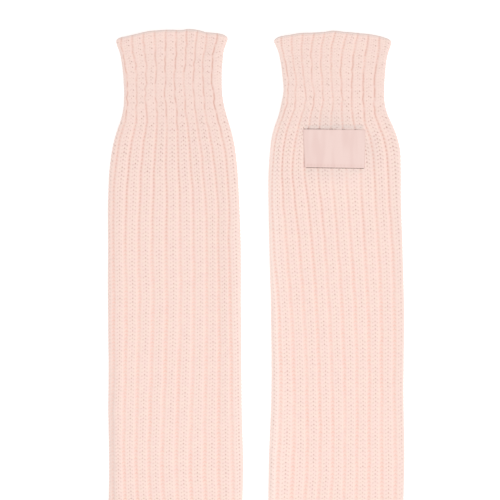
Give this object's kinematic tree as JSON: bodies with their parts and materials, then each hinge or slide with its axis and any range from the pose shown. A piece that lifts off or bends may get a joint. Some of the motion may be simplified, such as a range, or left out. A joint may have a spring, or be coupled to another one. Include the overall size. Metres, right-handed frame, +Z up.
{
  "type": "pair of leg warmers",
  "caption": "Long rib-knit leg warmers laid flat side by side, each an open tube with drawn-in cuffs and flared lips, with a plain woven label.",
  "frame": {"origin": "on the surface that the pair lies on, below the middle of its bounding box", "axes": "+X across the pair to the leg warmer with the label, +Y along the tubes to the upper cuffs, +Z up from the surface"},
  "size_m": [0.2427, 0.6, 0.0086],
  "materials": {
    "rib_knit": "matt pale peach rib knit",
    "woven_label": "satin woven tape, slightly pinker than the knit"
  },
  "bodies": {
    "root": {"leg_warmer_left": "rib_knit", "leg_warmer_right": "rib_knit", "label": "woven_label"}
  },
  "joints": []
}
